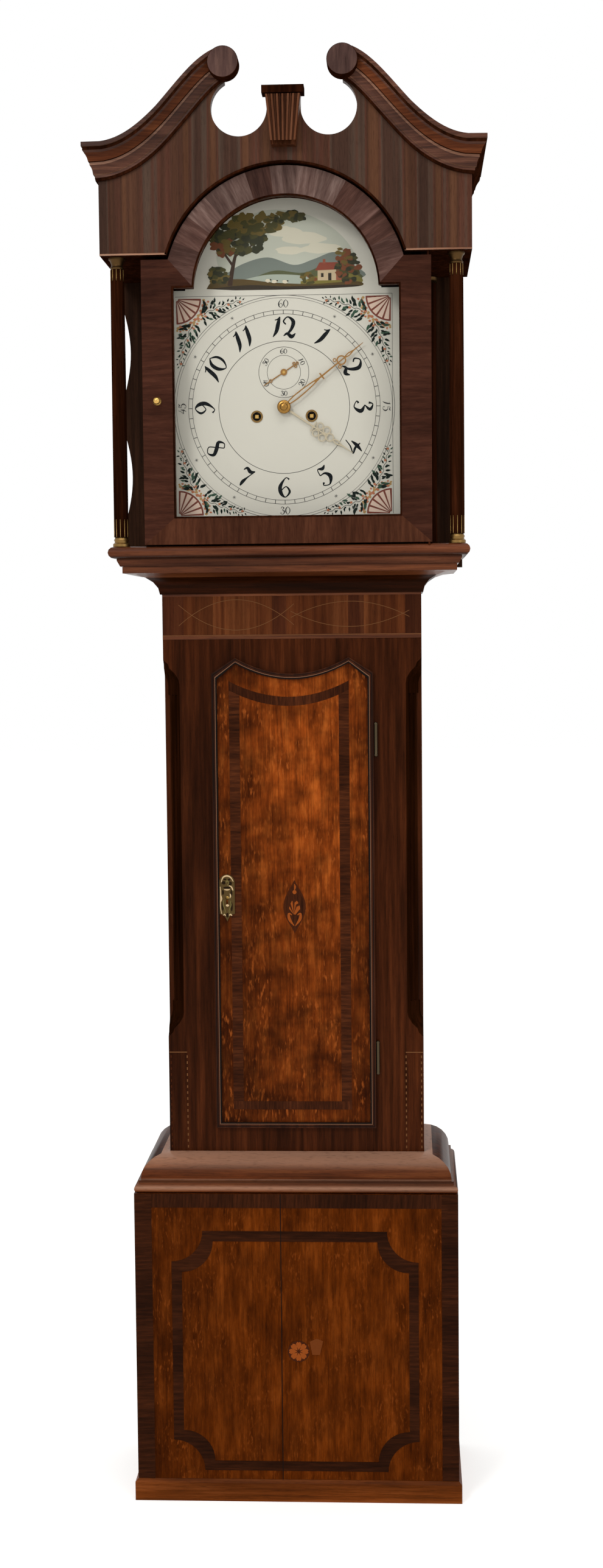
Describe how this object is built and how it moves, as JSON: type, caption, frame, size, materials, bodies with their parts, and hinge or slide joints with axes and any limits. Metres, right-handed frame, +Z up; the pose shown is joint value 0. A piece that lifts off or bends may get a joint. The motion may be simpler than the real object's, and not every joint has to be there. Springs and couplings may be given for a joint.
{
  "type": "longcase clock",
  "caption": "Tall mahogany and oak longcase clock with a swan-neck hood, arched painted dial, pendulum and weight-driven movement.",
  "frame": {"origin": "on the floor, under the middle of the whole clock's bounding box", "axes": "+Z up, -Y out of the clock's front, +X to the viewer's right in a front view"},
  "size_m": [0.6016, 0.2856, 2.226],
  "materials": {
    "mahogany": "dark red-brown mahogany, French polished",
    "oak": "warm brown quarter-sawn oak, polished",
    "pine": "bare aged softwood",
    "brass": "lacquered brass, slightly dulled",
    "steel": "plain steel, oiled",
    "dial_paint": "off-white japanned enamel paint with coloured decoration",
    "weight_iron": "as cast, blackened",
    "glass": "clear flat pane",
    "gut": "natural gut line"
  },
  "bodies": {
    "case": {"backboard": "pine", "trunk_side_left": "mahogany", "trunk_side_right": "mahogany", "trunk_stile_left": "mahogany", "trunk_stile_right": "mahogany", "trunk_top_rail": "mahogany", "trunk_bottom_rail": "mahogany", "trunk_hinge_upper": "brass", "trunk_hinge_lower": "brass", "throat_moulding": "mahogany", "base_moulding": "mahogany", "base_front": "oak", "base_side_left": "oak", "base_side_right": "oak", "plinth": "mahogany", "seat_board": "pine", "movement_front_plate": "brass", "movement_back_plate": "brass", "back_cock": "brass", "dial": "dial_paint", "bell": "brass", "gut_line_time": "gut", "gut_line_strike": "gut"},
    "hood": {"hood_side_left": "mahogany", "hood_side_right": "mahogany", "hood_roof": "pine", "tympanum": "mahogany", "hood_base": "mahogany", "swan_neck_left": "mahogany", "swan_neck_right": "mahogany", "keystone": "mahogany", "column_left": "mahogany", "column_right": "mahogany", "column_base_left": "brass", "column_base_right": "brass", "capital_left": "brass", "capital_right": "brass"},
    "hood_door": {"hood_door": "mahogany", "hood_glass": "glass", "hood_knob": "brass"},
    "trunk_door": {"trunk_door": "oak", "trunk_escutcheon": "brass"},
    "lock_bolt": {"trunk_lock_bolt": "brass"},
    "escape_arbor": {"escape_wheel": "brass", "seconds_hand": "brass"},
    "third_arbor": {"third_wheel": "brass"},
    "centre_arbor": {"centre_wheel": "brass", "minute_hand": "brass"},
    "great_wheel": {"time_great_wheel": "brass"},
    "hour_pipe": {"hour_hand": "brass"},
    "time_barrel": {"time_barrel": "brass"},
    "strike_barrel": {"strike_barrel": "brass"},
    "anchor": {"anchor": "steel"},
    "pendulum": {"pendulum_rod": "steel", "pendulum_bob": "brass"},
    "bell_hammer": {"bell_hammer": "steel"},
    "weight_time": {"weight_time": "weight_iron"},
    "weight_strike": {"weight_strike": "weight_iron"},
    "pulley_time": {"pulley_time": "brass"},
    "pulley_strike": {"pulley_strike": "brass"}
  },
  "joints": [
    {"name": "hood_slide", "type": "slide", "parent": "case", "child": "hood", "axis": [0, -1, 0], "range_m": [0, 0.3]},
    {"name": "hood_door_hinge", "type": "hinge", "parent": "hood", "child": "hood_door", "pos_m": [0.213, -0.10665, 1.779], "axis": [0, 0, 1], "range_deg": [0, 95]},
    {"name": "trunk_door_hinge", "type": "hinge", "parent": "case", "child": "trunk_door", "pos_m": [0.1296, -0.04315, 0.95], "axis": [0, 0, 1], "range_deg": [0, 110]},
    {"name": "lock_bolt_slide", "type": "slide", "parent": "trunk_door", "child": "lock_bolt", "axis": [-1, 0, 0], "range_m": [0, 0.007]},
    {"name": "escape_turn", "type": "hinge", "parent": "case", "child": "escape_arbor", "pos_m": [-0.007, 0.0204, 1.761], "axis": [0, 1, 0], "continuous": true},
    {"name": "third_turn", "type": "hinge", "parent": "case", "child": "third_arbor", "pos_m": [0.00035, 0.0204, 1.73491], "axis": [0, 1, 0], "continuous": true},
    {"name": "centre_turn", "type": "hinge", "parent": "case", "child": "centre_arbor", "pos_m": [-0.007, 0.0204, 1.708], "axis": [0, 1, 0], "continuous": true},
    {"name": "great_turn", "type": "hinge", "parent": "case", "child": "great_wheel", "pos_m": [-0.049, 0.0204, 1.6945], "axis": [0, 1, 0], "continuous": true},
    {"name": "hour_turn", "type": "hinge", "parent": "case", "child": "hour_pipe", "pos_m": [-0.007, -0.0586, 1.708], "axis": [0, 1, 0], "continuous": true},
    {"name": "pendulum_swing", "type": "hinge", "parent": "case", "child": "pendulum", "pos_m": [-0.007, 0.08035, 1.791], "axis": [0, 1, 0], "range_deg": [-2.5, 2.5]},
    {"name": "anchor_rock", "type": "hinge", "parent": "case", "child": "anchor", "pos_m": [-0.007, 0.08035, 1.791], "axis": [0, 1, 0], "range_deg": [-2.5, 2.5]},
    {"name": "bell_hammer_lift", "type": "hinge", "parent": "case", "child": "bell_hammer", "pos_m": [0.021, 0.0204, 1.774], "axis": [0, -1, 0], "range_deg": [0, 12], "stiffness_Nm_per_rad": 0.05, "springref_deg": -5.73},
    {"name": "weight_time_drop", "type": "slide", "parent": "case", "child": "weight_time", "axis": [0, 0, -1], "range_m": [0, 1.05], "deforming": ["gut_line_time"]},
    {"name": "pulley_time_turn", "type": "hinge", "parent": "weight_time", "child": "pulley_time", "pos_m": [-0.0921, 0.02535, 1.5563], "axis": [0, 1, 0], "range_deg": [0, 2893]},
    {"name": "time_barrel_turn", "type": "hinge", "parent": "case", "child": "time_barrel", "pos_m": [-0.049, 0.0204, 1.6945], "axis": [0, 1, 0], "range_deg": [-5396, 0]},
    {"name": "weight_strike_drop", "type": "slide", "parent": "case", "child": "weight_strike", "axis": [0, 0, -1], "range_m": [0, 1.05], "deforming": ["gut_line_strike"]},
    {"name": "pulley_strike_turn", "type": "hinge", "parent": "weight_strike", "child": "pulley_strike", "pos_m": [0.0781, 0.02535, 1.5563], "axis": [0, 1, 0], "range_deg": [-2893, 0]},
    {"name": "strike_barrel_turn", "type": "hinge", "parent": "case", "child": "strike_barrel", "pos_m": [0.035, 0.0204, 1.6945], "axis": [0, 1, 0], "range_deg": [0, 5396]}
  ],
  "couplings": [
    {"joint": "third_turn", "follows": "escape_turn", "ratio": -0.125},
    {"joint": "centre_turn", "follows": "escape_turn", "ratio": 0.016667},
    {"joint": "great_turn", "follows": "escape_turn", "ratio": -0.0013889},
    {"joint": "hour_turn", "follows": "escape_turn", "ratio": 0.0013889},
    {"joint": "anchor_rock", "follows": "pendulum_swing", "ratio": 1},
    {"joint": "pulley_time_turn", "follows": "weight_time_drop", "rad_per_m": 48.077},
    {"joint": "time_barrel_turn", "follows": "weight_time_drop", "rad_per_m": -89.686},
    {"joint": "pulley_strike_turn", "follows": "weight_strike_drop", "rad_per_m": -48.077},
    {"joint": "strike_barrel_turn", "follows": "weight_strike_drop", "rad_per_m": 89.686}
  ]
}
